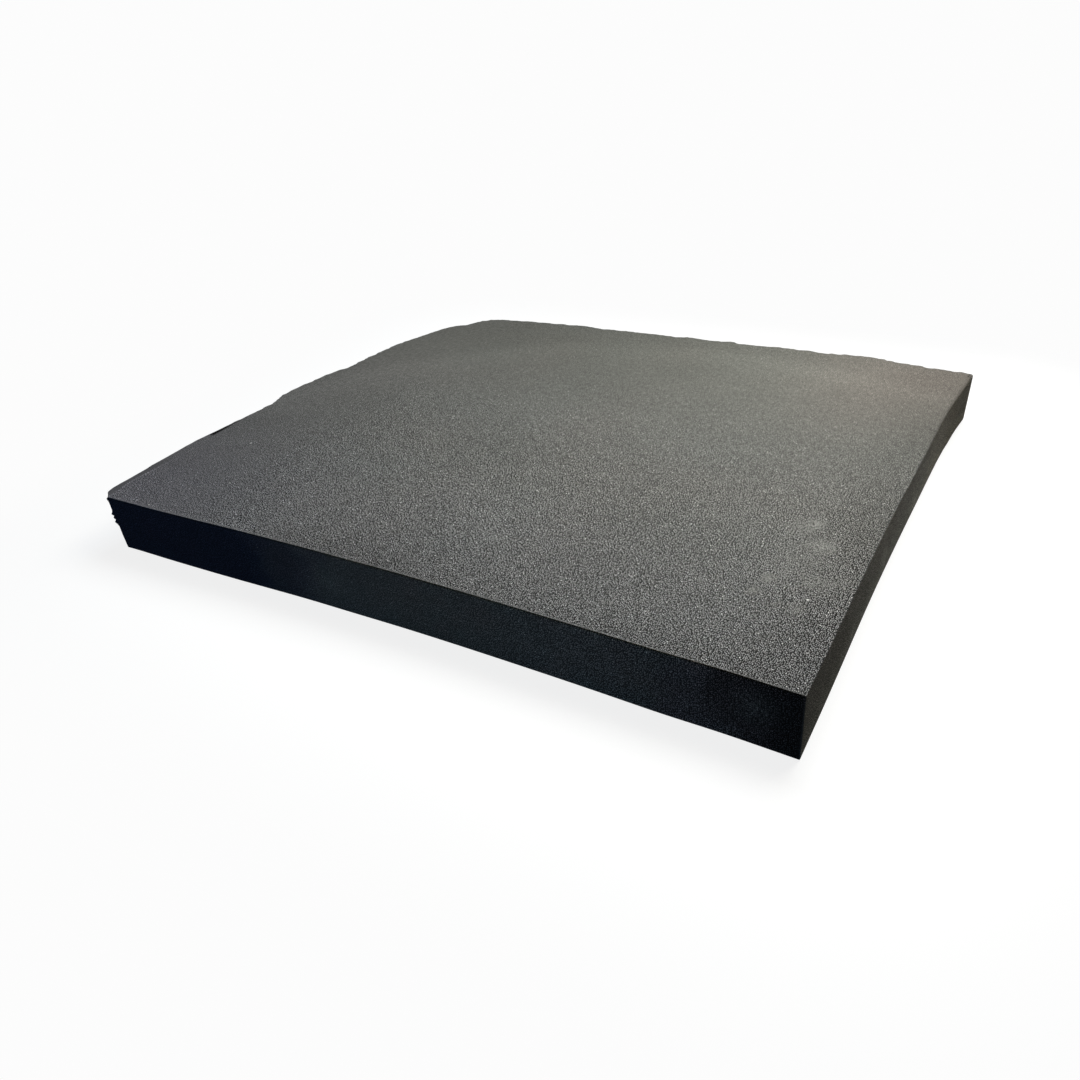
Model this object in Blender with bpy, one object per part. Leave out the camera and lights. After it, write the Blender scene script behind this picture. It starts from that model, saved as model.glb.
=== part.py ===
"""Foam pad: one slab of charcoal foam, cut by hand from sheet, lying flat on its underside.

Metres, +Z up. The long front side runs along X and faces -Y. The origin is the middle of the
slab's bounding box, on the plane that the slab rests on.

The plan is a rectangle whose four sides depart a little from straight, as a blade leaves soft
foam, with one corner worn round. The slab is drawn from two shares of its plan: across, 0 at
the left side and 1 at the right, and back, 0 at the front side and 1 at the back.
"""
import math

import bmesh
import bpy

# Driving dimensions of the cut slab.
LENGTH = 0.457              # front side, from corner to corner
DEPTH = 0.381               # front side to back side
THICKNESS = 0.038           # the sheet it was cut from

# How the cut sides leave the rectangle.
FRONT_PULL = 0.0042         # front side drawn in at its middle
LEFT_BULGE = 0.0070         # left side swelling out at its middle
LEFT_UNDERCUT = 0.0025      # left side's foot set in under its top edge
RIGHT_FLARE = 0.0085        # back end of the right side reaching out
BACK_EASE = 0.0050          # back side falling forward at its right end
BACK_EASE_RUN = 0.0950      # the length over which it does

# The worn back left corner.
CORNER_ALONG_BACK = 0.045   # the rounding's reach along the back side
CORNER_ALONG_LEFT = 0.230   # the rounding's reach along the left side
ROLL_DROP = 0.0060          # how far the top rolls down at that corner
ROLL_REACH = 0.230          # distance from the corner at which the top is level

# The eased arrises.
EDGE_EASE = 0.0010          # width taken off each sharp edge
EDGE_STEPS = 2              # facets across it
SHARP_ANGLE = math.radians(50)

# Facets of the drawn surface.
CELLS_ACROSS = 36
CELLS_BACK = 30
CORNER_SHARE = 0.2          # share of the back side's cells that go round the corner

FOAM_COLOUR = (0.060, 0.061, 0.058, 1.0)
FOAM_ROUGHNESS = 0.95


def clear_scene():
    """Remove whatever the file opened with."""
    for obj in list(bpy.data.objects):
        bpy.data.objects.remove(obj, do_unlink=True)


def clamp(value):
    """The value held between 0 and 1."""
    return min(max(value, 0.0), 1.0)


def left_edge(x, y):
    """A point at or near the left side, moved out by the half sine wave that swells there."""
    return x - LEFT_BULGE * math.sin(math.pi * y / DEPTH), y


def worn_corner(turn):
    """Quarter ellipse from the left side, at turn 0, round to the back side, at turn 1."""
    angle = turn * math.pi / 2.0
    x = CORNER_ALONG_BACK * (1.0 - math.cos(angle))
    y = DEPTH - CORNER_ALONG_LEFT * (1.0 - math.sin(angle))
    return left_edge(x, y)


def front_side(share):
    """A shallow parabola, drawn in towards the back at its middle."""
    return LENGTH * share, FRONT_PULL * 4.0 * share * (1.0 - share)


def right_side(share):
    """Straight at the front, flaring out with the fourth power of the way back."""
    return LENGTH + RIGHT_FLARE * share ** 4, (DEPTH - BACK_EASE) * share


def left_side(share):
    """The swollen side, then the worn corner's first half, in even steps towards the back."""
    reach = CORNER_ALONG_LEFT * math.sin(math.pi / 4.0)
    straight = DEPTH - CORNER_ALONG_LEFT
    y = (straight + reach) * share
    if y <= straight:
        return left_edge(0.0, y)
    return worn_corner(math.asin((y - straight) / CORNER_ALONG_LEFT) * 2.0 / math.pi)


def back_side(share):
    """The worn corner's second half, then a straight cut that ends in a falling parabola."""
    if share <= CORNER_SHARE:
        return worn_corner(0.5 + 0.5 * share / CORNER_SHARE)
    along = (share - CORNER_SHARE) / (1.0 - CORNER_SHARE)
    end = LENGTH + RIGHT_FLARE
    x = CORNER_ALONG_BACK + (end - CORNER_ALONG_BACK) * along
    eased = clamp(1.0 - (end - x) / BACK_EASE_RUN)
    return x, DEPTH - BACK_EASE * eased ** 2


def plan_point(across, back):
    """The four sides blended over the plan: the two blends of facing sides, less the corners."""
    front, rear = front_side(across), back_side(across)
    left, right = left_side(back), right_side(back)
    corners = front_side(0.0), front_side(1.0), back_side(0.0), back_side(1.0)
    return [
        (1 - back) * front[i] + back * rear[i] + (1 - across) * left[i] + across * right[i]
        - (1 - back) * ((1 - across) * corners[0][i] + across * corners[1][i])
        - back * ((1 - across) * corners[2][i] + across * corners[3][i])
        for i in (0, 1)
    ]


def top_height(x, y):
    """Sheet thickness, less a smooth roll that grows towards the worn corner."""
    near = clamp(1.0 - math.hypot(x, DEPTH - y) / ROLL_REACH)
    return THICKNESS - ROLL_DROP * near * near * (3.0 - 2.0 * near)


def slab_point(across, back, top):
    """A point of the underside, or of the top face above it."""
    x, y = plan_point(across, back)
    if top:
        return x, y, top_height(x, y)
    return x + LEFT_UNDERCUT * (1.0 - across), y, 0.0


def centre_on_origin(bm):
    """Slide the slab so that its bounding box is centred over the origin."""
    for axis in (0, 1):
        places = [vert.co[axis] for vert in bm.verts]
        middle = (min(places) + max(places)) / 2.0
        for vert in bm.verts:
            vert.co[axis] -= middle


def slab_mesh():
    """A grid over the plan, extruded up into the slab, with one flat face for its underside."""
    bm = bmesh.new()
    bmesh.ops.create_grid(bm, x_segments=CELLS_ACROSS, y_segments=CELLS_BACK, size=0.5)
    underside = list(bm.faces)
    lifted = bmesh.ops.extrude_face_region(bm, geom=underside, use_keep_orig=True)["geom"]
    top_verts = {item for item in lifted if isinstance(item, bmesh.types.BMVert)}
    for vert in bm.verts:
        vert.co = slab_point(vert.co.x + 0.5, vert.co.y + 0.5, vert in top_verts)
    bmesh.ops.dissolve_faces(bm, faces=underside, use_verts=True)
    bmesh.ops.recalc_face_normals(bm, faces=bm.faces)
    centre_on_origin(bm)
    mesh = bpy.data.meshes.new("foam_pad")
    bm.to_mesh(mesh)
    bm.free()
    return mesh


def foam_material():
    """Dull charcoal foam."""
    material = bpy.data.materials.new("charcoal_foam")
    material.use_nodes = True
    shader = material.node_tree.nodes["Principled BSDF"]
    shader.inputs["Base Color"].default_value = FOAM_COLOUR
    shader.inputs["Roughness"].default_value = FOAM_ROUGHNESS
    shader.inputs["Metallic"].default_value = 0.0
    return material


def foam_pad():
    """The slab, with its sharp edges eased."""
    pad = bpy.data.objects.new("foam_pad", slab_mesh())
    bpy.context.scene.collection.objects.link(pad)
    pad.data.materials.append(foam_material())
    ease = pad.modifiers.new("eased_edges", "BEVEL")
    ease.width = EDGE_EASE
    ease.segments = EDGE_STEPS
    ease.limit_method = "ANGLE"
    ease.angle_limit = SHARP_ANGLE
    return pad


clear_scene()
foam_pad()
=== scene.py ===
import math

import bpy
import numpy as np
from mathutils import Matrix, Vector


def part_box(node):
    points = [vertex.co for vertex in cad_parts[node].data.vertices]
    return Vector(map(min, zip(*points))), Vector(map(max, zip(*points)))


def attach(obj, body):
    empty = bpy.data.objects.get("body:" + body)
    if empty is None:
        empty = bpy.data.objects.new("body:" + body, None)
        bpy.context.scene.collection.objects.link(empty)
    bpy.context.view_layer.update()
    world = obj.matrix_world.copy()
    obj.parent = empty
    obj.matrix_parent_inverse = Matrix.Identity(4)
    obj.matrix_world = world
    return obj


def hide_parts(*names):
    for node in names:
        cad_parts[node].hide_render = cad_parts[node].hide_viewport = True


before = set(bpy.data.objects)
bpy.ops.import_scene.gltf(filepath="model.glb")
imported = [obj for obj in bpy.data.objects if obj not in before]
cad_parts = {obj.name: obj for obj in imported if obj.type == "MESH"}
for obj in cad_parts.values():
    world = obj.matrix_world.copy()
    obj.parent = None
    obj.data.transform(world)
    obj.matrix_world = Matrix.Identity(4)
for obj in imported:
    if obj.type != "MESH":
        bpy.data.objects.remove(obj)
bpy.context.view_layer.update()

# A hand-cut slab of charcoal foam, laid flat. Lengths are in metres. Shapes are
# drawn from the front left corner of the foot: x to the right, y to the back, z up.
LOW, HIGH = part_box("foam_pad")

# ---------------------------------------------------------------- driving dimensions
LENGTH = 0.457
DEPTH = 0.381
THICKNESS = HIGH.z - LOW.z
FRONT_PULL = 0.0042
LEFT_BULGE = 0.0070
RIGHT_FLARE = 0.0085
BACK_EASE = 0.0050
BACK_EASE_RUN = 0.0950
CORNER_ALONG_BACK = 0.045
CORNER_ALONG_LEFT = 0.230
CORNER_SHARE = 0.2
ROLL_DROP = 0.0060
ROLL_REACH = 0.230

# the drawn shape is laid so that its right and back sides meet those of the solid
SHIFT_X = HIGH.x - (LENGTH + RIGHT_FLARE)
SHIFT_Y = HIGH.y - DEPTH

# ---------------------------------------------------------------- how the sides were cut
FLARE_POWER = 4
# how sharply the snip and the wander at the front corners fade along a side
END_POWER = 12
# Each pair is a share of the way along a side and a distance. Shares run from left to right
# along the front and back, and from front to back along the right and left.
# how far the front and right sides leave their drawn lines
FRONT_WANDER = (
    (0, -0.0010), (0.10, -0.0015), (0.40, 0.0), (0.52, 0.0004), (0.76, -0.0001), (0.84, -0.0002),
    (0.92, 0.0003), (1, 0.0),
)
RIGHT_WANDER = (
    (0, 0.0), (0.10, 0.0003), (0.36, 0.0004), (0.62, 0.0014), (0.83, 0.0004), (0.93, 0.0012), (1, 0.0012),
)
# how far the foot stands outside the top edge
FRONT_LEAN = ((0, 0.0006), (0.25, 0.0017), (0.36, 0.0014), (0.70, 0.0012), (0.86, 0.0016), (1, 0.0012))
RIGHT_LEAN = (
    (0, 0.0007), (0.10, 0.0005), (0.36, -0.0001), (0.62, -0.0008), (0.77, -0.0006), (0.83, -0.0008),
    (0.88, -0.0012), (0.93, -0.0016), (1, -0.0010),
)
BACK_LEAN = ((0, 0.0), (0.80, -0.0004), (0.95, 0.0020), (1, 0.0055))
LEFT_LEAN = ((0, 0.0001), (0.10, -0.0025), (1, -0.0025))
# radius of the top edge
FRONT_ROUND = ((0, 0.0008), (0.04, 0.0002), (1, 0.0002))
RIGHT_ROUND = ((0, 0.0002), (0.08, 0.0004), (0.50, 0.0007), (0.85, 0.0022), (1, 0.0022))
BACK_ROUND = ((0, 0.0014), (0.90, 0.0012), (1, 0.0022))
LEFT_ROUND = ((0, 0.0010), (0.06, 0.0018), (0.30, 0.0014), (1, 0.0014))
FOOT_ROUND = 0.0010
CORNER_ROUND = 0.0006
# the snipped front left corner, and the crumbs on the edge under it
SNIP_ALONG = 0.0046
SNIP_BACK = 0.0050
SNIP_SHELF = 0.0003
# height and stand-out of each crumb
CRUMBS = ((0.0368, 0.0012), (0.0262, 0.0024), (0.0228, 0.0019), (0.0193, 0.0026))
CRUMB_SIZE = 0.0011
# how far the shelf reaches to the right, and how far down it starts and grows to its full depth
SHELF_RUN = 0.006
SHELF_TOP = 0.0010
SHELF_GROWS = 0.0012
# where each pass of the knife starts along the left and back sides, and how far outside the
# drawn line it starts and ends
KNIFE_PASSES = (
    (0.000, 0.0022, 0.0026),
    (0.012, 0.0034, 0.0033),
    (0.042, 0.0041, 0.0037),
    (0.086, 0.0034, 0.0008),
    (0.104, 0.0006, -0.0004),
    (0.120, -0.0010, -0.0051),
    (0.153, -0.0050, -0.0002),
    (0.168, 0.0000, -0.0014),
    (0.226, -0.0018, -0.0060),
    (0.238, -0.0042, -0.0010),
    (0.262, -0.0008, 0.0022),
    (0.292, 0.0026, 0.0042),
    (0.311, 0.0028, 0.0036),
    (0.351, 0.0028, 0.0014),
    (0.365, -0.0006, -0.0014),
    (0.371, -0.0040, -0.0028),
    (0.389, -0.0014, -0.0004),
    (0.397, 0.0012, 0.0040),
    (0.408, 0.0050, 0.0056),
    (0.449, 0.0039, 0.0044),
    (0.492, 0.0036, 0.0006),
    (0.518, 0.0003, -0.0006),
    (0.592, 0.0014, 0.0010),
    (0.628, 0.0030, 0.0030),
    (0.637, -0.0004, 0.0008),
    (0.663, 0.0021, 0.0029),
    (0.700, 0.0012, 0.0012),
    (0.713, 0.0024, 0.0046),
    (0.741, 0.0038, 0.0054),
    (0.756, 0.0016, 0.0006),
    (0.786, -0.0004, -0.0002),
    (0.802, 0.0006, 0.0003),
)
# how many edge radii the outline is calmed over before the top edge is rounded
CALM = 1.6
# how long the knife is lifted between passes, and how the cut settles at its two ends
KNIFE_LIFT = 0.0030
KNIFE_START = 0.012
KNIFE_END = 0.004
# the burr: its height, its least share, where it grows, and amount, step and seed of its waves
BURR = 0.0016
BURR_LEAST = 0.15
BURR_START = (0.090, 0.160)
BURR_WAVES = ((0.4, 0.0050, 3), (0.6, 0.0022, 4))
# how far the cut lies inside the passes once it is past the front part of the left side
TRIM = 0.0006
TRIM_START = 0.10
TRIM_RUN = 0.08
# waves of the wall: height, step and seed
WALL_WAVE = (0.00018, 0.009, 21)

# ---------------------------------------------------------------- wear, and painted light and shade
# the ridge line that cuts off the back left corner, along which the top is painted paler as a highlight
# and past which it is painted darker as shade, and how far it bows towards it
RIDGE_ENDS = ((0.0225, 0.2185), (0.1875, 0.3390))
RIDGE_BOW = 0.020
# the smooth strip that was pressed along the left edge: where its inner border lies, and how far
# back it reaches
STRIP_SIDE = 0.0011
STRIP_END = 0.070
STRIP_FADE = 0.035
# a thin line of painted shadow at that edge: its start and end along it, and its inner border at both
SHADOW_LINE = ((0.0915, -0.0014), (0.1300, -0.0018))
SHADOW_LINE_DARK = 0.92
# dust: place, reach and thickness
DUST_DABS = (
    (0.4220, 0.1349, 0.0095, 0.72),
    (0.4180, 0.1300, 0.0120, 0.40),
    (0.4313, 0.1138, 0.0135, 0.62),
    (0.4356, 0.1136, 0.0060, 0.45),
    (0.4380, 0.0975, 0.0125, 0.15),
    (0.4456, 0.0826, 0.0120, 0.22),
    (0.4372, 0.0809, 0.0150, 0.34),
    (0.4245, 0.0977, 0.0260, 0.24),
    (0.4520, 0.0900, 0.0090, 0.12),
    (0.4147, 0.0760, 0.0070, 0.70),
    (0.4118, 0.0635, 0.0065, 0.60),
    (0.4256, 0.0569, 0.0045, 0.35),
    (0.4350, 0.0567, 0.0080, 0.28),
    (0.4314, 0.0850, 0.0060, 0.35),
    (0.3560, 0.2040, 0.0060, 0.18),
)
# all dabs of dust are this much thicker than listed
DUST_THICKNESS = 1.15
# scuffs low on the right side: place along and above the foot, and reach
RIGHT_SCUFFS = (
    (0.2325, 0.0090, 0.006),
    (0.1555, 0.0140, 0.010),
    (0.1480, 0.0180, 0.008),
    (0.0860, 0.0090, 0.007),
    (0.0365, 0.0340, 0.004),
)
# smudges on the front: place along and above the foot, reach and thickness
FRONT_SMUDGES = (
    (0.1840, 0.0170, 0.011, 0.20),
    (0.4350, 0.0220, 0.016, 0.16),
)
# how the front and right sides are painted: share of the way along, then tone, rose and blue. On the
# front these are painted light and shade: near black at both ends as shade, cool blue at the left end as
# the tint of that shade, and paler over the middle as light reflected on to it from in front
FRONT_PAINTED_LIGHT = (
    (0.00, 0.17, -0.28, 1.00),
    (0.25, 0.19, -0.24, 0.85),
    (0.33, 0.42, -0.08, 0.30),
    (0.40, 0.92, 0.00, 0.00),
    (0.55, 0.95, 0.02, -0.04),
    (0.76, 0.92, 0.02, -0.02),
    (0.84, 0.78, 0.05, -0.02),
    (0.89, 0.66, 0.14, 0.05),
    (0.94, 0.34, 0.10, 0.05),
    (0.985, 0.17, 0.00, 0.10),
    (1.00, 0.12, 0.00, 0.10),
)
# painted light on the right side: its tone rises from the near end towards the back as light from the
# back right falls on it
RIGHT_PAINTED_LIGHT = (
    (0.00, 0.98, 0.03, -0.13),
    (0.12, 1.14, 0.03, -0.13),
    (0.26, 1.50, 0.02, -0.11),
    (0.40, 2.02, 0.02, -0.10),
    (0.50, 2.40, 0.02, -0.09),
    (0.62, 2.96, 0.02, -0.10),
    (0.72, 2.95, 0.04, -0.13),
    (0.80, 2.75, 0.05, -0.14),
    (0.87, 2.42, 0.07, -0.17),
    (1.00, 2.40, 0.08, -0.17),
)
# paler and darker patches of the top: place, reach and change of tone; those of one row add up
TOP_PATCHES = (
    ((0.055, 0.280, 0.110, 0.10), (0.350, 0.330, 0.120, 0.10)),
    ((0.410, 0.380, 0.120, 0.06), (0.180, 0.000, 0.100, -0.08)),
    ((0.395, 0.350, 0.080, 0.05), (0.045, 0.300, 0.060, 0.03)),
    ((0.345, 0.090, 0.090, -0.06), (0.215, 0.010, 0.060, -0.06)),
    ((0.180, 0.130, 0.100, -0.05), (0.400, 0.200, 0.070, -0.04)),
    ((0.000, 0.120, 0.040, -0.12), (0.110, 0.065, 0.075, -0.06)),
    ((0.455, 0.330, 0.060, -0.06), (0.420, 0.280, 0.060, 0.04)),
)
# unevenness: amount, step and seed of each layer
TOP_SWELLS = ((0.00030, 0.085, 11), (0.00010, 0.030, 12))
TOP_UNEVEN = ((0.025, 0.045, 31), (0.02, 0.016, 32))
TOP_ROSY = ((0.012, 0.050, 33),)
FRONT_CLOUDS = ((0.010, 0.020, 41), (0.005, 0.007, 42))
FRONT_UNEVEN = ((0.05, 0.015, 43),)
FRONT_ROSY = ((0.06, 0.022, 44), (0.04, 0.009, 47))
RIGHT_UNEVEN = ((0.04, 0.013, 46),)
# how the hacked sides look: tone, its unevenness and bite
PLAIN_TONE = 0.86
PLAIN_UNEVEN = (0.05, 0.012, 45)
PLAIN_BITE = 0.7
RIGHT_BITE = 0.5
# the fine lines along the front's top edge: a painted highlight, wider at the left, and a line of painted
# shade under it
EDGE_HIGHLIGHT = 0.42
EDGE_HIGHLIGHT_LEFT = 0.0024
EDGE_HIGHLIGHT_NARROWS = 0.0010
ROUND_HIGHLIGHT = 0.30
EDGE_SHADE = 0.55
EDGE_SHADE_DEPTH = 0.0011
EDGE_SHADE_ROSE = 0.12
EDGE_SHADE_BLUE = -0.30
# how far under the top a wall's own finish takes over, and within what height: plain, at the
# front, and where the right side's edge is soft
MEET_DEPTH = 0.00025
MEET_RUN = 0.0003
MEET_CRISP = 0.0002
MEET_SOFT = 0.0025
# single bright grains on the top and the front: place and radius
BRIGHT_GRAINS = (
    (0.4381, 0.0657, THICKNESS, 0.00065),
    (0.1481, 0.1784, THICKNESS, 0.00050),
    (0.0355, 0.0931, THICKNESS, 0.00060),
    (0.0673, 0.0439, THICKNESS, 0.00050),
    (0.0400, 0.0028, THICKNESS, 0.00055),
    (0.1305, 0.0020, 0.0293, 0.00060),
    (0.1395, 0.0020, 0.0315, 0.00045),
    (0.4476, 0.0005, 0.0042, 0.00055),
    (0.4427, 0.0006, 0.0173, 0.00040),
    (0.4051, 0.0014, 0.0085, 0.00040),
    (0.3819, 0.0020, 0.0350, 0.00040),
)

# ---------------------------------------------------------------- how finely it is made
CELLS_ACROSS = 264
CELLS_BACK = 220
EDGE_CROWDING = 2.0
EDGE_NEAR = 0.04
EASE_ROWS = 4
WALL_ROWS = 26
WALL_CROWDING = 1.5
UNDER_ROWS = 5
UNDER_CROWDING = 1.6
# samples taken to round the outline's turns, and how much less the outermost counts
EASE_SAMPLES = 13
EASE_FADE = 0.5
NOISE_SIDE = 256
NOISE_LENGTH = 4096
NOISE_ORIGIN = 64.0


# ---------------------------------------------------------------- smooth chance
def smooth(share):
    """Slow-in, slow-out step: 0 below 0, 1 above 1, and 3t^2 - 2t^3 between."""
    held = np.clip(share, 0.0, 1.0)
    return held * held * (3.0 - 2.0 * held)


def rising(value, start, run):
    """0 up to the start and 1 once the run is over."""
    return smooth((value - start) / run)


def falling(value, end, run):
    """1 until the run begins and 0 from the end on."""
    return smooth((end - value) / run)


def through(places, share):
    """The values given at a few places, joined by smooth steps; one value or several."""
    table = np.array(places, dtype=float)
    at, values = table[:, 0], table[:, 1:]
    low = np.clip(np.searchsorted(at, share, side="right") - 1, 0, len(at) - 2)
    part = smooth((share - at[low]) / (at[low + 1] - at[low]))
    found = values[low] + (values[low + 1] - values[low]) * part[..., None]
    return found[..., 0] if values.shape[1] == 1 else found


def hump(x, y, at_x, at_y, reach):
    """Round soft spot: 1 at a place and 0 past its reach."""
    return smooth(1 - np.hypot(x - at_x, y - at_y) / reach)


def drift_along(place, step, seed):
    """Random heights from -1 to 1, one for each step along a line, joined by smooth steps."""
    heights = np.random.default_rng(seed).uniform(-1.0, 1.0, NOISE_LENGTH)
    turn = np.asarray(place) / step + NOISE_ORIGIN
    low = np.floor(turn).astype(int)
    part = smooth(turn - low)
    return heights[low % NOISE_LENGTH] * (1.0 - part) + heights[(low + 1) % NOISE_LENGTH] * part


def drift_over(x, y, step, seed):
    """Random heights from -1 to 1 at the crossings of a square net, joined by smooth steps."""
    side = NOISE_SIDE
    heights = np.random.default_rng(seed).uniform(-1.0, 1.0, (side, side))
    across = x / step + NOISE_ORIGIN
    back = y / step + NOISE_ORIGIN
    i = np.floor(across).astype(int)
    j = np.floor(back).astype(int)
    u = smooth(across - i)
    v = smooth(back - j)
    near = heights[i % side, j % side] * (1 - u) + heights[(i + 1) % side, j % side] * u
    far = heights[i % side, (j + 1) % side] * (1 - u) + heights[(i + 1) % side, (j + 1) % side] * u
    return near * (1 - v) + far * v


def layered(x, y, layers):
    """The sum of several drifts, each with its amount, step and seed."""
    return sum(amount * drift_over(x, y, step, seed) for amount, step, seed in layers)


# ---------------------------------------------------------------- the outline
def crowded(count):
    """Shares from 0 to 1 that crowd at both ends: their density is 1 plus a fading exponential
    at each end."""
    fine = np.linspace(0, 1, 4001)
    density = 1 + EDGE_CROWDING * (np.exp(-fine / EDGE_NEAR) + np.exp((fine - 1) / EDGE_NEAR))
    total = np.concatenate([[0.0], np.cumsum(density[1:] + density[:-1])])
    return np.interp(np.linspace(0, total[-1], count + 1), total, fine)


def round_loop(front, right, back, left):
    """Values along the four sides as one run round the outline, anticlockwise from the front
    left corner, each side without its last point."""
    return np.concatenate([front[:-1], right[:-1], back[::-1][:-1], left[::-1][:-1]])


def bowed_left(x, y):
    """The left side bows outwards by a half sine over the depth."""
    return x - LEFT_BULGE * np.sin(np.pi * y / DEPTH), y


def worn_corner(turn):
    """A quarter oval from the left side (turn 0) to the back (turn 1), carried by the bow."""
    angle = turn * np.pi / 2
    x = CORNER_ALONG_BACK * (1 - np.cos(angle))
    y = DEPTH - CORNER_ALONG_LEFT * (1 - np.sin(angle))
    return bowed_left(x, y)


def flared(share):
    """Where the right side's drawn line lies: a power of the way back."""
    return LENGTH + RIGHT_FLARE * share**FLARE_POWER


def front_side(share):
    """A run whose middle is pulled back by a parabola, with the knife's wander, and whose left
    end stops short at the snipped corner."""
    x = LENGTH * share + SNIP_ALONG * (1 - share) ** END_POWER
    return x, FRONT_PULL * 4 * share * (1 - share) + through(FRONT_WANDER, share)


def right_side(share):
    """The flared line with the knife's wander."""
    front_end = FRONT_WANDER[-1][1] * (1 - share) ** END_POWER
    x = flared(share) + through(RIGHT_WANDER, share)
    return x, (DEPTH - BACK_EASE) * share + front_end


def left_side(share):
    """The snipped corner, the bowed side, then the first half of the worn corner by its
    height."""
    straight = DEPTH - CORNER_ALONG_LEFT
    reach = CORNER_ALONG_LEFT * math.sin(math.pi / 4)
    y = (straight + reach) * share
    lift = np.clip((y - straight) / CORNER_ALONG_LEFT, 0, 1)
    plain_x, plain_y = bowed_left(np.zeros_like(y), y)
    round_x, round_y = worn_corner(np.arcsin(lift) * 2 / np.pi)
    plain = y <= straight
    snip = np.clip(1 - y / SNIP_BACK, 0, 1)
    x = np.where(plain, plain_x, round_x) + SNIP_ALONG * snip
    return x, np.where(plain, plain_y, round_y) + FRONT_WANDER[0][1] * snip


def back_side(share):
    """The second half of the worn corner, then a run that eases forwards at its far end."""
    round_x, round_y = worn_corner(0.5 + 0.5 * np.clip(share / CORNER_SHARE, 0, 1))
    along = np.clip((share - CORNER_SHARE) / (1 - CORNER_SHARE), 0, 1)
    end = LENGTH + RIGHT_FLARE + RIGHT_WANDER[-1][1]
    run_x = CORNER_ALONG_BACK + (end - CORNER_ALONG_BACK) * along
    run_y = DEPTH - BACK_EASE * np.clip(1 - (end - run_x) / BACK_EASE_RUN, 0, 1) ** 2
    turning = share <= CORNER_SHARE
    return np.where(turning, round_x, run_x), np.where(turning, round_y, run_y)


def arc_lengths(x, y):
    """Running length of a polyline from its first point."""
    return np.concatenate([[0.0], np.cumsum(np.hypot(np.diff(x), np.diff(y)))])


def knife_line(arc):
    """Distance outside the drawn line: each pass runs straight from its first to its last
    offset, and the next one takes over within the short length in which the knife is lifted."""
    offset = np.zeros_like(arc)
    for number, (start, first, last) in enumerate(KNIFE_PASSES):
        following = KNIFE_PASSES[number + 1][0] if number + 1 < len(KNIFE_PASSES) else arc[-1]
        share = np.clip((arc - start) / (following - start), 0, 1)
        level = first + (last - first) * share
        if number == 0:
            offset = level
        else:
            offset = offset + (level - offset) * smooth((arc - start) / KNIFE_LIFT + 0.5)
    return offset


def hacked(x, y):
    """An open run moved outwards, on its left-hand side, by the knife line and a ragged burr,
    less the trim."""
    arc = arc_lengths(x, y)
    along_x, along_y = np.gradient(x), np.gradient(y)
    size = np.hypot(along_x, along_y)
    settle = rising(arc, 0, KNIFE_START) * falling(arc, arc[-1], KNIFE_END)
    ragged = sum(amount * drift_along(arc, step, seed) for amount, step, seed in BURR_WAVES)
    grown = rising(arc, BURR_START[0], BURR_START[1] - BURR_START[0])
    burr = BURR * (BURR_LEAST + (1 - BURR_LEAST) * grown)
    moved = (knife_line(arc) + burr * ragged) * settle
    moved = moved - TRIM * rising(arc, TRIM_START, TRIM_RUN) * settle
    return x - along_y / size * moved, y + along_x / size * moved


def outline():
    """The closed outline: front and right as drawn, left and back as hacked."""
    across = crowded(CELLS_ACROSS)
    deep = crowded(CELLS_BACK)
    left_x, left_y = left_side(deep)
    back_x, back_y = back_side(across)
    run_x, run_y = hacked(np.append(left_x, back_x[1:]), np.append(left_y, back_y[1:]))
    left = run_x[: CELLS_BACK + 1], run_y[: CELLS_BACK + 1]
    back = run_x[CELLS_BACK:], run_y[CELLS_BACK:]
    front = front_side(across)
    right = right_side(deep)
    return [round_loop(front[n], right[n], back[n], left[n]) for n in (0, 1)]


def eased(x, y, reach):
    """A closed outline with its turns rounded: each point is the weighted mean of the outline
    within its own reach of it, on both sides."""
    loop_x, loop_y = np.append(x, x[0]), np.append(y, y[0])
    arc = arc_lengths(loop_x, loop_y)
    steps = np.linspace(-1, 1, EASE_SAMPLES)
    weights = 1 - np.abs(steps) * EASE_FADE
    places = (arc[:-1, None] + steps[None, :] * np.broadcast_to(reach, x.shape)[:, None]) % arc[-1]
    return [np.interp(places, arc, loop) @ weights / weights.sum() for loop in (loop_x, loop_y)]


def loop_normals(x, y):
    """Unit normals of a closed loop that runs anticlockwise, pointing outwards."""
    along_x = np.roll(x, -1) - np.roll(x, 1)
    along_y = np.roll(y, -1) - np.roll(y, 1)
    size = np.hypot(along_x, along_y)
    return along_y / size, -along_x / size


# ---------------------------------------------------------------- the top
def past_ridge(x, y):
    """Distance past the ridge line towards the back left corner, and less than 0 before it. The line bows
    towards the corner by a parabola."""
    (x0, y0), (x1, y1) = RIDGE_ENDS
    run = math.hypot(x1 - x0, y1 - y0)
    along = ((x - x0) * (x1 - x0) + (y - y0) * (y1 - y0)) / run / run
    past = ((y - y0) * (x1 - x0) - (x - x0) * (y1 - y0)) / run
    return past - RIDGE_BOW * 4 * along * (1 - along)


def top_height(x, y):
    """Flat, and rolled down towards the worn corner by a smooth step of the distance, with
    slow swells of the soft sheet."""
    near = smooth(1 - np.hypot(x, DEPTH - y) / ROLL_REACH)
    return THICKNESS - ROLL_DROP * near + layered(x, y, TOP_SWELLS)


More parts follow.
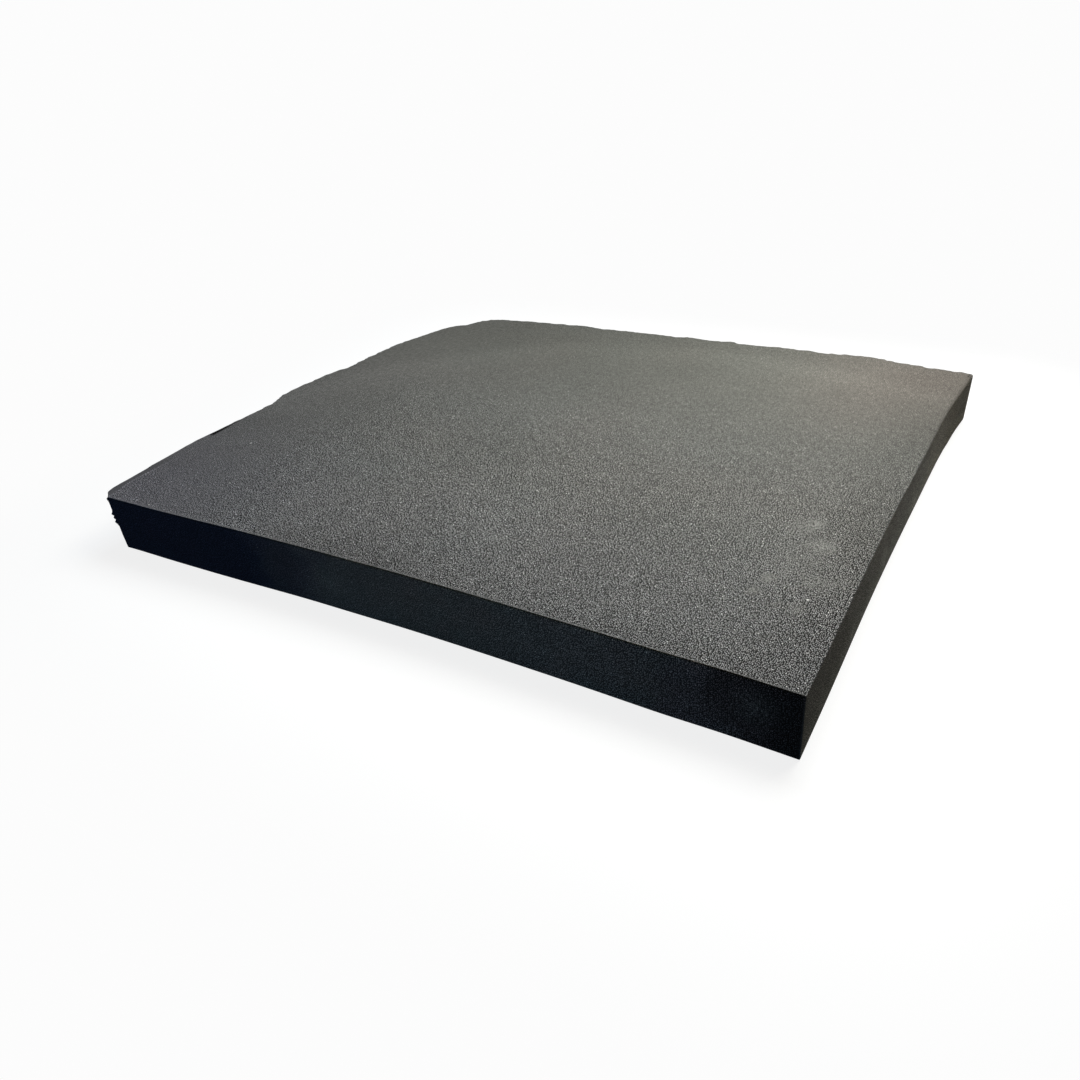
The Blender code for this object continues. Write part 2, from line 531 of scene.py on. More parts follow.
def filled(loop_x, loop_y):
    """A net of points inside the loop: each is the blend of the two sides across and the two
    sides along, less the blend of the four corners."""
    a = crowded(CELLS_ACROSS)[:, None]
    b = crowded(CELLS_BACK)[None, :]
    nets = []
    for loop in (loop_x, loop_y):
        front = loop[: CELLS_ACROSS + 1][:, None]
        right = loop[CELLS_ACROSS : CELLS_ACROSS + CELLS_BACK + 1][None, :]
        behind = loop[CELLS_ACROSS + CELLS_BACK : 2 * CELLS_ACROSS + CELLS_BACK + 1][::-1][:, None]
        left = np.append(loop[2 * CELLS_ACROSS + CELLS_BACK :], loop[0])[::-1][None, :]
        corners = (
            front[0, 0] * (1 - a) * (1 - b)
            + front[-1, 0] * a * (1 - b)
            + behind[0, 0] * (1 - a) * b
            + behind[-1, 0] * a * b
        )
        nets.append(front * (1 - b) + behind * b + left * (1 - a) + right * a - corners)
    return nets


# ---------------------------------------------------------------- what each place looks like
# A finish is five numbers for each point: tone (1 is plain foam), rose and blue (how much more red and
# blue than green), dust, and bite (how strongly the grain shows). Tone, rose and blue carry painted light
# and shade as well as the foam's own colour.
def finish(x, tone=1.0, rose=0.0, blue=0.0, dust=0.0, bite=1.0):
    """The five numbers, spread over all points and put side by side."""
    return np.stack([np.broadcast_to(value, x.shape) for value in (tone, rose, blue, dust, bite)], -1)


def shadow_line_at(x, y):
    """How deep a place lies in the thin line of painted shadow: 1 outside its slanting border, fading out
    along it."""
    (start, start_x), (end, end_x) = SHADOW_LINE
    along = (y - start) / (end - start)
    shadow = smooth((start_x + (end_x - start_x) * along - x) / 0.0010 + 0.5)
    return shadow * smooth((y - start) / 0.0015) * smooth((1 - along) / 0.8)


def top_tone(x, y):
    """Nearly even: painted a little paler to the back as light, painted paler along the ridge line as a
    highlight and darker past that line as shade on the strip that rolls down; also darker along the right
    edge and before the front edge, with the listed patches."""
    right_edge = flared(np.clip(y / DEPTH, 0, 1)) - x
    past = past_ridge(x, y)
    # painted light: the top grows a little paler towards the back
    tone = 0.985 + 0.06 * rising(y, 0.14, 0.09)
    side = falling(right_edge, 0.050, 0.050) * falling(y, 0.33, 0.06) * rising(y, -0.030, 0.070)
    tone = tone - (0.17 - 0.02 * rising(y, 0.13, 0.05)) * side
    tone = tone * (1 + 0.12 * falling(x, 0.10, 0.10) * rising(y, 0.06, 0.10))
    # painted shade past the ridge line, and a painted highlight along it
    tone = tone * (1 - 0.05 * rising(past, 0.004, 0.018))
    tone = tone * (1 + 0.07 * np.exp(-(((past + 0.008) / 0.020) ** 2)))
    tone = tone * (1 - 0.13 * rising(x, 0.10, 0.06) * falling(y, 0.030, 0.030))
    tone = tone * (1 - 0.04 * rising(x, 0.10, 0.20) * falling(y, 0.150, 0.150))
    tone = tone * (1 - 0.04 * rising(y, 0.06, 0.05) * falling(y, 0.21, 0.06) * rising(x, 0.05, 0.05))
    tone = tone * (1 + 0.05 * falling(x, 0.075, 0.075) * falling(y, 0.20, 0.05))
    for row in TOP_PATCHES:
        tone = tone * (1 + sum(change * hump(x, y, *place) for *place, change in row))
    return tone * (1 + layered(x, y, TOP_UNEVEN))


def top_bite(x, y):
    """The grain is strongest near the front and fades to the back; it is weaker at the left,
    though less so in the front left corner."""
    bite = 0.97 + 0.13 * rising(y, 0.02, 0.07) - 0.58 * rising(y, 0.09, 0.15)
    bite = bite - 0.30 * rising(y, 0.18, 0.12) + 0.16 * hump(x, y, 0.190, 0.060, 0.150)
    corner = falling(x, 0.080, 0.080) * falling(y, 0.055, 0.04)
    left = 0.42 + 0.58 * rising(x, 0.03, 0.09) + 0.29 * corner
    return bite * left * (1 - 0.2 * falling(x, 0.06, 0.06) * rising(y, 0.04, 0.04))


def top_finish_and_light(x, y):
    """The top's tone and bite; rosier at the back right and yellower to the back, partly as painted warm
    light, and bluer near the front left, partly as painted cool shade; then the strip with its seam, the
    painted shadow line, the painted highlight along the front edge and the dust."""
    tone = top_tone(x, y)
    # partly painted light: warm where the light falls at the back and back right, cool blue as shade near
    # the front left; the rest is the foam's own hue
    rose = 0.02 * falling(x, 0.12, 0.12) + 0.07 * hump(x, y, 0.440, 0.370, 0.150)
    rose = rose + 0.025 * rising(y, 0.22, 0.08) * rising(x, 0.33, 0.08)
    rose = rose + layered(x, y, TOP_ROSY)
    blue = 0.01 - 0.05 * rising(y, 0, 0.16) - 0.05 * rising(y, 0.16, 0.20)
    blue = blue + 0.09 * falling(x, 0.18, 0.18) * falling(y, 0.20, 0.20)

    border = STRIP_SIDE + 0.0036 * falling(y, 0.022, 0.022)
    reach = falling(y, STRIP_END, STRIP_FADE)
    strip = smooth((border - x) / 0.0010 + 0.5) * reach
    seam = np.exp(-(((x - border - 0.0007) / 0.0009) ** 2)) * reach
    tone = tone * (1 + strip * (0.12 * falling(y, 0.014, 0.014) - 0.14) + 0.35 * seam)
    blue = blue - 0.03 * strip
    # painted shadow: a thin dark line along the left edge
    tone = tone * (1 - SHADOW_LINE_DARK * shadow_line_at(x, y))
    # painted highlight along the front's top edge
    width = EDGE_HIGHLIGHT_LEFT - EDGE_HIGHLIGHT_NARROWS * x / LENGTH
    line = smooth(1.4 * (1 - (y - front_side(x / LENGTH)[1]) / width))
    tone = tone * (1 + EDGE_HIGHLIGHT * line)

    dust = np.zeros_like(x)
    for at_x, at_y, reach, thick in DUST_DABS:
        dust = np.maximum(dust, DUST_THICKNESS * thick * hump(x, y, at_x, at_y, reach))
    bite = top_bite(x, y) * (1 - 0.8 * strip) * (1 - 0.6 * line) * (1 - 0.2 * dust)
    return finish(x, tone, rose, blue, dust, bite)


def front_finish_and_light(x, z):
    """Painted light and shade over the front: pale over the middle as light reflected on to it from in
    front, with cloudy ends, and painted near black as shade at both ends; with smudges of dust.
    """
    cloud = layered(x, z, FRONT_CLOUDS)
    tone, rose, blue = np.moveaxis(through(FRONT_PAINTED_LIGHT, (x + cloud) / LENGTH), -1, 0)
    tone = tone * (1 + layered(x, z, FRONT_UNEVEN))
    rose = rose + layered(x, z, FRONT_ROSY)
    dust = np.zeros_like(x)
    for at_x, at_z, reach, thick in FRONT_SMUDGES:
        dust = np.maximum(dust, thick * hump(x, z, at_x, at_z, reach))
    bite = 0.38 + 0.44 * rising(x / LENGTH, 0.42, 0.48)
    return finish(x, tone, rose, blue, dust, bite)


def right_finish_and_light(y, z):
    """Painted light and shade: dark at the near end and paler towards the far one as light from the back
    right falls on it, paler near the foot as light thrown up by the floor, painted darker as shade in the
    upper half to the back and in a band near the far end, with small scuffs low down."""
    tone, rose, blue = np.moveaxis(through(RIGHT_PAINTED_LIGHT, y / DEPTH), -1, 0)
    # painted shade in the upper part towards the back
    tone = tone * (1 - 0.17 * rising(y, 0.12, 0.12) * rising(z, 0.010, 0.022))
    # painted light near the foot, as thrown up by the floor
    tone = tone * (1 + 0.44 * falling(z, 0.019, 0.015) * (1 - 0.55 * rising(y, 0.15, 0.05)))
    # painted shade in a band near the far end
    band = rising(y / DEPTH, 0.88, 0.08) * np.exp(-(((z - 0.0150) / 0.0050) ** 2))
    tone = tone * (1 - 0.25 * band)
    tone = tone * (1 + layered(y, z, RIGHT_UNEVEN))
    dust = np.zeros_like(y)
    for at_y, at_z, reach in RIGHT_SCUFFS:
        scuff = hump(y, z * 0.6, at_y, at_z * 0.6, reach * 0.7)
        dust = np.maximum(dust, 0.3 * scuff)
        tone = tone * (1 + 0.55 * scuff)
    return finish(y, tone, rose, blue, dust, RIGHT_BITE)


def wall_finish_and_light(nx, ny, arc, x, y, z):
    """The finish and painted light of a row of points round the pad: the top's at its upper edge, and
    below it a mix of the front's, the right side's and a plain one by how much each point faces them. A
    painted highlight runs along the front's top edge and its rounding, with a line of painted shade under
    it."""
    to_front = np.clip(-ny, 0, 1)[:, None] ** 2
    to_right = np.clip(nx, 0, 1)[:, None] ** 2
    amount, step, seed = PLAIN_UNEVEN
    plain_tone = PLAIN_TONE * (1 + amount * drift_along(arc, step, seed))
    plain = finish(x, plain_tone, bite=PLAIN_BITE)
    below = front_finish_and_light(x, z) * to_front + right_finish_and_light(y, z) * to_right
    below = below + plain * (1 - to_front - to_right)
    depth = THICKNESS - z
    # painted shade just under the front's top edge
    edge_shade_mask = np.exp(-((depth / EDGE_SHADE_DEPTH) ** 2)) * to_front[:, 0]
    # the painted shadow line is carried down the wall under it
    below[:, 0] *= (1 - EDGE_SHADE * edge_shade_mask) * (1 - SHADOW_LINE_DARK * shadow_line_at(x, y))
    below[:, 1] += EDGE_SHADE_ROSE * edge_shade_mask
    below[:, 2] += EDGE_SHADE_BLUE * edge_shade_mask
    on_top = top_finish_and_light(x, y)
    # painted highlight on the rounding of the front's top edge
    on_top[:, 0] *= 1 + ROUND_HIGHLIGHT * to_front[:, 0] * rising(depth, 0, 0.0001)
    soft = MEET_SOFT * to_right[:, 0] * rising(y, 0.16, 0.10)
    crisp = MEET_CRISP * to_front[:, 0]
    share = smooth((depth - MEET_DEPTH + crisp) / (MEET_RUN + soft - crisp))[:, None]
    return on_top * (1 - share) + below * share


# ---------------------------------------------------------------- the skin
def side_values():
    """Lean and top edge radius for each point of the outline."""
    across = crowded(CELLS_ACROSS)
    deep = crowded(CELLS_BACK)
    along = np.linspace(0, 1, CELLS_ACROSS + 1)
    aback = np.linspace(0, 1, CELLS_BACK + 1)
    left_start, left_end = -LEFT_LEAN[0][1], -LEFT_LEAN[-1][1]
    right_start, right_end = RIGHT_LEAN[0][1], RIGHT_LEAN[-1][1]
    front_start, front_end = -FRONT_LEAN[0][1], -FRONT_LEAN[-1][1]
    back_start, back_end = BACK_LEAN[0][1], BACK_LEAN[-1][1]
    lean_x = round_loop(
        left_start + (right_start - left_start) * smooth(along),
        through(RIGHT_LEAN, deep),
        left_end + (right_end - left_end) * smooth(along),
        -through(LEFT_LEAN, deep),
    )
    lean_y = round_loop(
        -through(FRONT_LEAN, across),
        front_end + (back_end - front_end) * smooth(aback * 4 - 3),
        through(BACK_LEAN, across),
        front_start + (back_start - front_start) * smooth(aback * 8),
    )
    radius = round_loop(
        through(FRONT_ROUND, across),
        through(RIGHT_ROUND, deep),
        through(BACK_ROUND, across),
        through(LEFT_ROUND, deep),
    )
    return lean_x, lean_y, radius


def stand_out(x, y, z, share):
    """How far the wall stands out at the snipped corner: one round bump for each crumb, and a
    slight shelf under the snip, which fades out down to the foot."""
    near = np.exp(-((np.hypot(x - SNIP_ALONG, y) / CRUMB_SIZE) ** 2))
    bumps = sum(out * np.exp(-(((z - height) / CRUMB_SIZE) ** 2)) for height, out in CRUMBS)
    shelf = np.clip(1 - y / SNIP_BACK, 0, 1) * falling(x - SNIP_ALONG, SHELF_RUN, SHELF_RUN)
    shelf = shelf * rising(THICKNESS - z, SHELF_TOP, SHELF_GROWS)
    return bumps * near + SNIP_SHELF * shelf * (1 - share)


def make_pad():
    """The whole skin: a net over the top, a profile carried round the outline (a quarter turn
    at the top edge, the wall, a quarter turn at the foot) and rings under it to one point."""
    x, y = eased(*outline(), CORNER_ROUND)
    lean_x, lean_y, radius = side_values()
    calm_x, calm_y = eased(x, y, radius * CALM)
    nx, ny = loop_normals(calm_x, calm_y)
    arc = arc_lengths(x, y)
    count = len(x)

    inner_x, inner_y = calm_x - nx * radius, calm_y - ny * radius
    net_x, net_y = filled(inner_x, inner_y)
    net_z = top_height(net_x, net_y)
    points = [np.stack([net_x, net_y, net_z], -1).reshape(-1, 3)]
    sheet = [np.stack([net_x, net_y, net_z * 0], -1).reshape(-1, 3)]
    finishes = [top_finish_and_light(net_x, net_y).reshape(-1, 5)]
    rim = top_height(inner_x, inner_y)

    rows = []
    for row in range(1, EASE_ROWS + 1):
        angle = row / EASE_ROWS * np.pi / 2
        out = np.sin(angle)
        row_x, row_y = inner_x + (x - inner_x) * out, inner_y + (y - inner_y) * out
        rows.append((row_x, row_y, rim - radius * (1 - np.cos(angle))))
    top_z = rim - radius
    for row in range(1, WALL_ROWS + 1):
        share = (row / WALL_ROWS) ** WALL_CROWDING
        z = top_z + (FOOT_ROUND - top_z) * share
        wave = layered(arc, z, [WALL_WAVE]) * np.sin(np.pi * share)
        out = wave + stand_out(x, y, z, share)
        rows.append((x + lean_x * share + nx * out, y + lean_y * share + ny * out, z))
    foot_x, foot_y = x + lean_x, y + lean_y
    for row in range(1, EASE_ROWS + 1):
        angle = row / EASE_ROWS * np.pi / 2
        inside = FOOT_ROUND * (1 - np.cos(angle))
        z = np.full(count, FOOT_ROUND * (1 - np.sin(angle)))
        rows.append((foot_x - nx * inside, foot_y - ny * inside, z))
    last_x, last_y, last_z = rows[-1]
    middle_x, middle_y = last_x.mean(), last_y.mean()
    for row in range(1, UNDER_ROWS):
        share = (row / UNDER_ROWS) ** UNDER_CROWDING
        row_x = last_x + (middle_x - last_x) * share
        row_y = last_y + (middle_y - last_y) * share
        rows.append((row_x, row_y, last_z * 0))
    before = np.stack([inner_x, inner_y, rim], -1)
    down = np.zeros(count)
    for row in rows:
        points.append(np.stack(row, -1))
        down = down + np.linalg.norm(points[-1] - before, axis=1)
        before = points[-1]
        sheet.append(np.stack([inner_x + nx * down, inner_y + ny * down, down * 0], -1))
        finishes.append(wall_finish_and_light(nx, ny, arc, *row))
    points.append(np.array([[middle_x, middle_y, 0.0]]))
    sheet.append(sheet[-1][:1])
    finishes.append(finishes[-1][:1])
    verts = np.concatenate(points) + np.array([SHIFT_X, SHIFT_Y, 0.0])

    side = CELLS_BACK + 1
    grid = np.arange((CELLS_ACROSS + 1) * side).reshape(CELLS_ACROSS + 1, side)
    top = np.stack([grid[:-1, :-1], grid[1:, :-1], grid[1:, 1:], grid[:-1, 1:]], -1).reshape(-1, 4)
    border = np.concatenate([grid[:-1, 0], grid[-1, :-1], grid[::-1, -1][:-1], grid[0, ::-1][:-1]])
    loops = [border] + [grid.size + n * count + np.arange(count) for n in range(len(rows))]
    bands = [
        np.stack([upper, lower, np.roll(lower, -1), np.roll(upper, -1)], -1)
        for upper, lower in zip(loops[:-1], loops[1:])
    ]
    quads = np.concatenate([top] + bands)
    centre = grid.size + len(rows) * count
    fan = np.stack([loops[-1], np.full(count, centre), np.roll(loops[-1], -1)], -1)

    mesh = bpy.data.meshes.new("foam_slab")
    mesh.from_pydata(verts.tolist(), [], quads.tolist() + fan.tolist())
    layer = mesh.attributes.new("sheet", "FLOAT_VECTOR", "POINT")
    layer.data.foreach_set("vector", np.concatenate(sheet).astype(np.float32).ravel())
    for number, name in enumerate(("tone", "rose", "blue", "dust", "bite")):
        layer = mesh.attributes.new(name, "FLOAT", "POINT")
        layer.data.foreach_set("value", np.concatenate(finishes)[:, number].astype(np.float32))
    mesh.shade_smooth()
    piece = bpy.data.objects.new("foam_slab", mesh)
    bpy.context.scene.collection.objects.link(piece)
    return piece


# ---------------------------------------------------------------- finishes
CHARCOAL = 0.110
# the cells: how many to a metre, and how far they leave their rows
CELL_SCALE = 1120.0
CELL_CHANCE = 0.8
# a cell's level at its middle, and from this far out to its border
CELL_MIDDLE = 5.73
CELL_BORDER = 0.30
CELL_REACH = 0.45
# the least strength of a cell and how much more it may have, and the least level of the grain
STRENGTH_LEAST = 0.50
STRENGTH_SPREAD = 1.00
GRAIN_LEAST = 0.03
# lots above which a cell is painted bright as a glint, how much dust lowers them, over what run, and by
# how much; in dust the extra bright cells stand for pale flecks
SHINE_FROM = 0.9830
SHINE_DUST = -0.080
SHINE_RUN = 0.006
SHINE = 1.6
# broad clouds: scale, spread and least
CLOUD_SCALE = 60.0
CLOUD_SPREAD = 0.10
CLOUD_LEAST = 0.95
# the stretched mottle: where it grows and where it eases again, front to back; scale and stretch
MOTTLE_GROWS = (-0.14, 0.02, 0.0, 0.85)
MOTTLE_EASES = (0.05, 0.12, 1.0, 0.75)
MOTTLE_SCALE = 400.0
MOTTLE_STRETCH = (1.0, 0.6, 1.0)
# the dust: scale, detail and roughness, the range of noise it covers, and how far the grain shows
POWDER_NOISE = (420.0, 3.0, 0.65)
POWDER_RANGE = (0.34, 0.62)
POWDER_GRAIN = 0.55
DUST_COLOUR = (0.33, 0.33, 0.315, 1.0)
BRIGHT_COLOUR = (0.70, 0.70, 0.68, 1.0)


class Bench:
    """Short ways of adding nodes to one node tree."""

    def __init__(self, tree):
        self.tree = tree
        tree.nodes.clear()

    def add(self, kind, **values):
        """A node of that kind with its properties set."""
        node = self.tree.nodes.new(kind)
        for key, value in values.items():
            setattr(node, key, value)
        return node

    def feed(self, socket, value):
        """Links a socket to a socket, or sets a constant."""
        if isinstance(value, bpy.types.NodeSocket):
            self.tree.links.new(value, socket)
        else:
            socket.default_value = value

    def spread(self, name):
        """A number that the mesh holds for each point."""
        return self.add("ShaderNodeAttribute", attribute_name=name).outputs["Fac"]

    def maths(self, kind, a, b=0.0, c=0.0):
        """One sum of the Math node."""
        node = self.add("ShaderNodeMath", operation=kind)
        self.feed(node.inputs[0], a)
        self.feed(node.inputs[1], b)
        if kind == "MULTIPLY_ADD":
            self.feed(node.inputs[2], c)
        return node.outputs[0]

    def vector(self, kind, a, b=None, scale=None):
        """One sum of the Vector Math node."""
        node = self.add("ShaderNodeVectorMath", operation=kind)
        self.feed(node.inputs[0], a)
        if b is not None:
            self.feed(node.inputs[1], b)
        if scale is not None:
            self.feed(node.inputs["Scale"], scale)
        return node

    def between(self, value, low, high, at_low=0.0, at_high=1.0):
        """Value mapped smoothly from the range low to high onto the range at_low to at_high."""
        node = self.add("ShaderNodeMapRange", interpolation_type="SMOOTHSTEP")
        keys = ("Value", "From Min", "From Max", "To Min", "To Max")
        for key, given in zip(keys, (value, low, high, at_low, at_high)):
            self.feed(node.inputs[key], given)
        return node.outputs["Result"]

    def noise(self, place, scale, detail=2.0, rough=0.5):
        """Soft noise from 0 to 1."""
        node = self.add("ShaderNodeTexNoise")
        self.feed(node.inputs["Vector"], place)
        node.inputs["Scale"].default_value = scale
        node.inputs["Detail"].default_value = detail
        node.inputs["Roughness"].default_value = rough
        return node.outputs["Fac"]

    def cells(self, place, scale, chance):
        """A flat net of cells: distance from the nearest cell's middle, and that cell's lots,
        three chance numbers from 0 to 1. Chance is how far the cells leave their rows."""
        node = self.add("ShaderNodeTexVoronoi", feature="F1", voronoi_dimensions="2D")
        self.feed(node.inputs["Vector"], place)
        node.inputs["Scale"].default_value = scale
        node.inputs["Randomness"].default_value = chance
        lots = self.add("ShaderNodeSeparateColor")
        self.feed(lots.inputs[0], node.outputs["Color"])
        return node.outputs["Distance"], lots.outputs

    def blend(self, share, first, second):
        """First colour where share is 0, second where it is 1."""
        node = self.add("ShaderNodeMix", data_type="RGBA")
        self.feed(node.inputs[0], share)
        self.feed(node.inputs[6], first)
        self.feed(node.inputs[7], second)
        return node.outputs[2]

    def mix(self, share, first, second):
        """First shader where share is 0, second where it is 1."""
        node = self.add("ShaderNodeMixShader")
        for socket, value in zip(node.inputs, (share, first, second)):
            self.feed(socket, value)
        return node.outputs[0]

    def finish(self, shader, kind="ShaderNodeOutputMaterial"):
        """Links the surface to the output."""
        self.feed(self.add(kind).inputs[0], shader)


def new_material(name):
    """An empty node material and its bench."""
    material = bpy.data.materials.new(name)
    material.use_nodes = True
    return material, Bench(material.node_tree)


def foam_grain(bench, sheet, dust, bite):
    """Cut cells: pale in the middle and dark at their borders, each by its own strength, and a very few
    painted bright as glints, more of them in dust, where they stand for pale flecks. Bite fades the grain
    towards 1."""
    distance, lots = bench.cells(sheet, CELL_SCALE, CELL_CHANCE)
    level = bench.between(distance, 0.0, CELL_REACH, CELL_MIDDLE, CELL_BORDER)
    strength = bench.maths("MULTIPLY_ADD", lots[0], STRENGTH_SPREAD, STRENGTH_LEAST)
    least = bench.maths("MULTIPLY_ADD", dust, SHINE_DUST, SHINE_FROM)
    shine = bench.between(lots[1], least, bench.maths("ADD", least, SHINE_RUN), 0.0, SHINE)
    grain = bench.maths("MULTIPLY", level, bench.maths("ADD", strength, shine))
    faded = bench.maths("MULTIPLY_ADD", bench.maths("SUBTRACT", grain, 1.0), bite, 1.0)
    return bench.maths("MAXIMUM", faded, GRAIN_LEAST), distance


def bright_grains(bench, place):
    """1 inside each of the single bright grains, and 0 elsewhere."""
    found = 0.0
    for x, y, z, radius in BRIGHT_GRAINS:
        spot = (x + SHIFT_X, y + SHIFT_Y, z)
        apart = bench.vector("DISTANCE", place, spot).outputs["Value"]
        inside = bench.between(apart, radius * 1.3, radius * 0.7)
        found = bench.maths("MAXIMUM", found, inside)
    return found


def cut_foam():
    """The pad's finish: charcoal by tone, rose and blue, which also carry painted light and shade, with
    grain and its painted glints, dust, bright grains and a fine bump."""
    material, bench = new_material("cut_foam")
    place = bench.add("ShaderNodeTexCoord").outputs["Object"]
    sheet = bench.add("ShaderNodeAttribute", attribute_name="sheet").outputs["Vector"]
    dust = bench.spread("dust")
    grain, distance = foam_grain(bench, sheet, dust, bench.spread("bite"))
    clouds = bench.noise(sheet, CLOUD_SCALE)
    clouds = bench.maths("MULTIPLY_ADD", clouds, CLOUD_SPREAD, CLOUD_LEAST)
    parts = bench.add("ShaderNodeSeparateXYZ")
    bench.feed(parts.inputs[0], place)
    far = bench.between(parts.outputs["Y"], *MOTTLE_GROWS)
    far = bench.maths("MULTIPLY", far, bench.between(parts.outputs["Y"], *MOTTLE_EASES))
    stretched = bench.vector("MULTIPLY", sheet, MOTTLE_STRETCH).outputs[0]
    mottle = bench.maths("SUBTRACT", bench.noise(stretched, MOTTLE_SCALE, 1.0), 0.5)
    clouds = bench.maths("MULTIPLY", clouds, bench.maths("MULTIPLY_ADD", mottle, far, 1.0))
    value = bench.maths("MULTIPLY", bench.maths("MULTIPLY", grain, clouds), bench.spread("tone"))
    tint = bench.add("ShaderNodeCombineXYZ")
    red = bench.maths("MULTIPLY_ADD", bench.spread("rose"), CHARCOAL, CHARCOAL)
    bench.feed(tint.inputs["X"], red)
    bench.feed(tint.inputs["Y"], CHARCOAL)
    blue = bench.maths("MULTIPLY_ADD", bench.spread("blue"), CHARCOAL, CHARCOAL)
    bench.feed(tint.inputs["Z"], blue)
    colour = bench.vector("SCALE", tint.outputs[0], scale=value).outputs[0]
    powder = bench.between(bench.noise(sheet, *POWDER_NOISE), *POWDER_RANGE)
    grainy = bench.maths("MULTIPLY_ADD", grain, POWDER_GRAIN, 1 - POWDER_GRAIN)
    powder = bench.maths("MULTIPLY", powder, grainy)
    colour = bench.blend(bench.maths("MULTIPLY", powder, dust), colour, DUST_COLOUR)
    colour = bench.blend(bright_grains(bench, place), colour, BRIGHT_COLOUR)

    shader = bench.add("ShaderNodeBsdfPrincipled")
    bench.feed(shader.inputs["Base Color"], colour)
    shader.inputs["Roughness"].default_value = 0.95
    shader.inputs["Specular IOR Level"].default_value = 0.02
    shader.inputs["Sheen Weight"].default_value = 0.03
    shader.inputs["Sheen Roughness"].default_value = 0.5
    bump = bench.add("ShaderNodeBump")
    bump.inputs["Strength"].default_value = 0.2
    bump.inputs["Distance"].default_value = 0.00012
    bench.feed(bump.inputs["Height"], distance)
    bench.feed(shader.inputs["Normal"], bump.outputs[0])
    bench.finish(shader.outputs[0])
    return material


def seen_rays(bench):
    """1 for rays from the eye, from gloss or through glass, and 0 for the rest."""
    rays = bench.add("ShaderNodeLightPath")
    both = bench.maths("MAXIMUM", rays.outputs["Is Camera Ray"], rays.outputs["Is Glossy Ray"])
    return bench.maths("MAXIMUM", both, rays.outputs["Is Transmission Ray"])


# ---------------------------------------------------------------- stage
WHITE = (1.0, 1.0, 1.0, 1.0)
PALE = 0.975


def pale_floor():
    """A floor that looks near white and takes the pad's shadow close to it, but throws little
    light back on to the foam."""
    material, bench = new_material("pale_floor")
    place = bench.add("ShaderNodeTexCoord").outputs["Object"]
    outside = bench.vector("SUBTRACT", bench.vector("ABSOLUTE", place).outputs[0], (HIGH.x, HIGH.y, 0.0))
    outside = bench.vector("MAXIMUM", outside.outputs[0], (0.0, 0.0, 0.0))
    length = bench.vector("LENGTH", outside.outputs[0]).outputs["Value"]
    lit = bench.add("ShaderNodeBsdfDiffuse")
    lit.inputs["Color"].default_value = (0.25, 0.25, 0.25, 1.0)
    glow = bench.add("ShaderNodeEmission")
    glow.inputs["Color"].default_value = WHITE
    glow.inputs["Strength"].default_value = 0.84
    near = bench.add("ShaderNodeAddShader")
    bench.feed(near.inputs[0], lit.outputs[0])
    bench.feed(near.inputs[1], glow.outputs[0])
    white = bench.add("ShaderNodeEmission")
    white.inputs["Color"].default_value = WHITE
    white.inputs["Strength"].default_value = PALE
    seen = bench.mix(bench.between(length, 0.01, 0.17), near.outputs[0], white.outputs[0])
    dark = bench.add("ShaderNodeBsdfDiffuse")
    dark.inputs["Color"].default_value = (0.08, 0.08, 0.08, 1.0)
    bench.finish(bench.mix(seen_rays(bench), dark.outputs[0], seen))
    return material


def make_floor():
    """A square sheet under the pad."""
    reach = 6.0
    mesh = bpy.data.meshes.new("floor")
    corners = [(-reach, -reach, 0.0), (reach, -reach, 0.0), (reach, reach, 0.0), (-reach, reach, 0.0)]
    mesh.from_pydata(corners, [], [(0, 1, 2, 3)])
    floor = bpy.data.objects.new("floor", mesh)
    floor.data.materials.append(pale_floor())
    bpy.context.scene.collection.objects.link(floor)


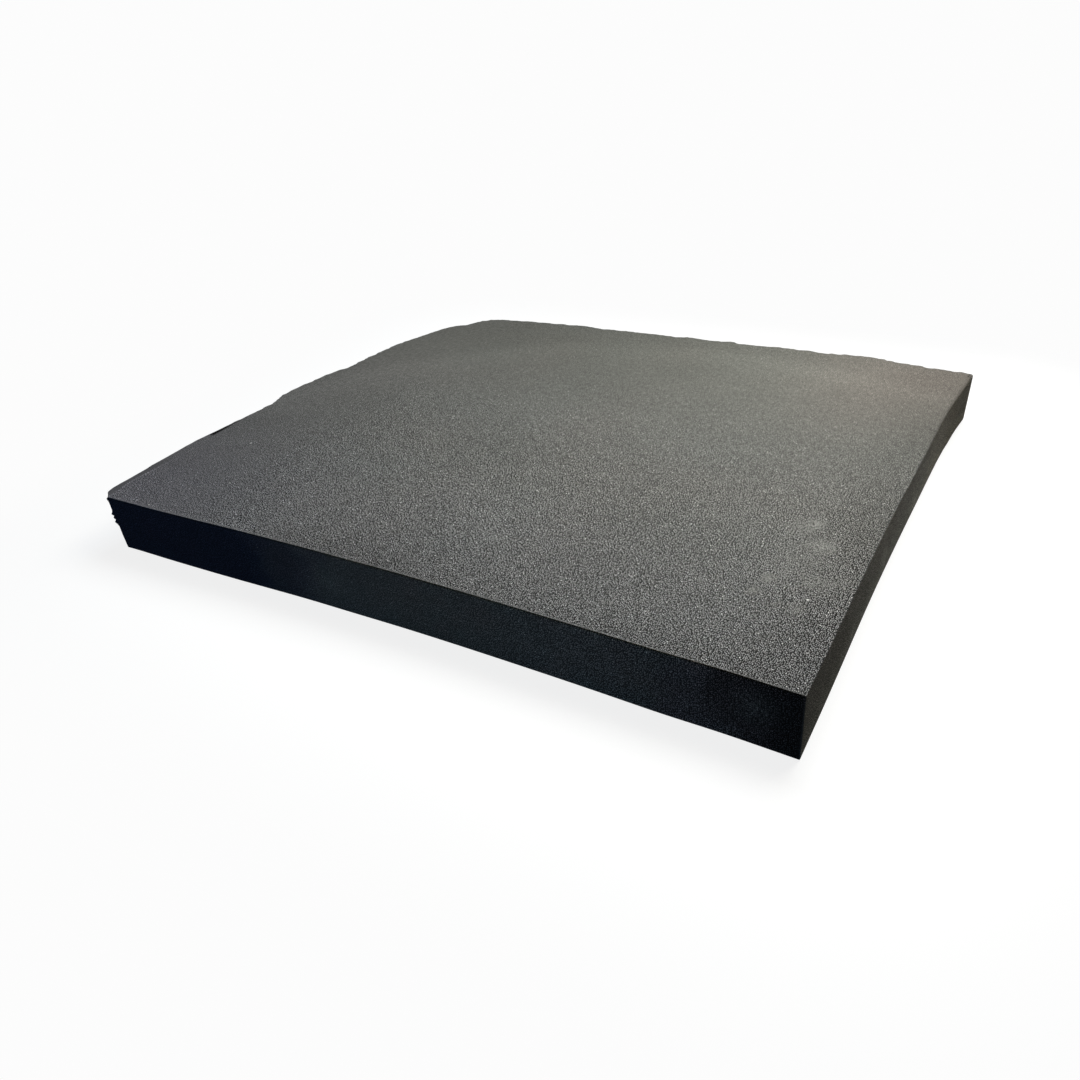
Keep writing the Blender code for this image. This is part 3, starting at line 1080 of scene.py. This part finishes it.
def make_world():
    """White to the eye, and faint as a light."""
    world = bpy.data.worlds.new("soft_room")
    bpy.context.scene.world = world
    world.use_nodes = True
    bench = Bench(world.node_tree)
    shades = []
    for strength in (0.02, PALE):
        shade = bench.add("ShaderNodeBackground")
        shade.inputs["Color"].default_value = WHITE
        shade.inputs["Strength"].default_value = strength
        shades.append(shade.outputs[0])
    bench.finish(bench.mix(seen_rays(bench), *shades), "ShaderNodeOutputWorld")


def soft_lamp(name, place, target, side, power, colour):
    """A square soft box at a place, turned to face its target, unseen by the camera."""
    data = bpy.data.lights.new(name, "AREA")
    data.shape = "SQUARE"
    data.size = side
    data.energy = power
    data.color = colour
    lamp = bpy.data.objects.new(name, data)
    heading = [t - p for t, p in zip(target, place)]
    lamp.rotation_euler = Vector(heading).to_track_quat("-Z", "Y").to_euler()
    lamp.location = place
    lamp.visible_camera = False
    bpy.context.scene.collection.objects.link(lamp)


def make_camera():
    """A look down from close by, over the near right corner."""
    data = bpy.data.cameras.new("camera")
    data.lens = 28.89
    data.sensor_width = 36.0
    data.shift_x = -0.0407
    data.shift_y = 0.0491
    data.clip_start = 0.01
    data.clip_end = 100.0
    camera = bpy.data.objects.new("camera", data)
    heading = math.radians(30.937)
    dip = math.radians(35.797)
    roll = math.radians(-4.523)
    turn = Matrix.Rotation(heading, 3, "Z")
    turn = turn @ Matrix.Rotation(math.pi / 2 - dip, 3, "X")
    turn = turn @ Matrix.Rotation(roll, 3, "Z")
    camera.rotation_euler = turn.to_euler()
    camera.location = (0.28740, -0.46533, 0.29259)
    bpy.context.scene.collection.objects.link(camera)
    bpy.context.scene.camera = camera


# soft boxes: name, place, target, side, power and colour
LAMPS = (
    ("window_box", (0.20, 0.15, 0.50), (0.15, 0.05, 0.0), 0.35, 3.6, (1.0, 0.966, 0.86)),
    ("high_box", (0.0, 0.563, 1.06), (0.0, 0.0, 0.0), 0.6, 5.3, (0.714, 0.838, 1.0)),
    ("front_fill", (0.05, -1.0, 0.25), (0.05, -0.19, 0.02), 0.5, 0.90, (0.46, 0.73, 1.0)),
)

make_floor()
make_world()
make_camera()
for lamp in LAMPS:
    soft_lamp(*lamp)

pad = make_pad()
pad.data.materials.append(cut_foam())
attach(pad, "root")
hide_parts("foam_pad")

bpy.context.scene.view_settings.view_transform = "Standard"
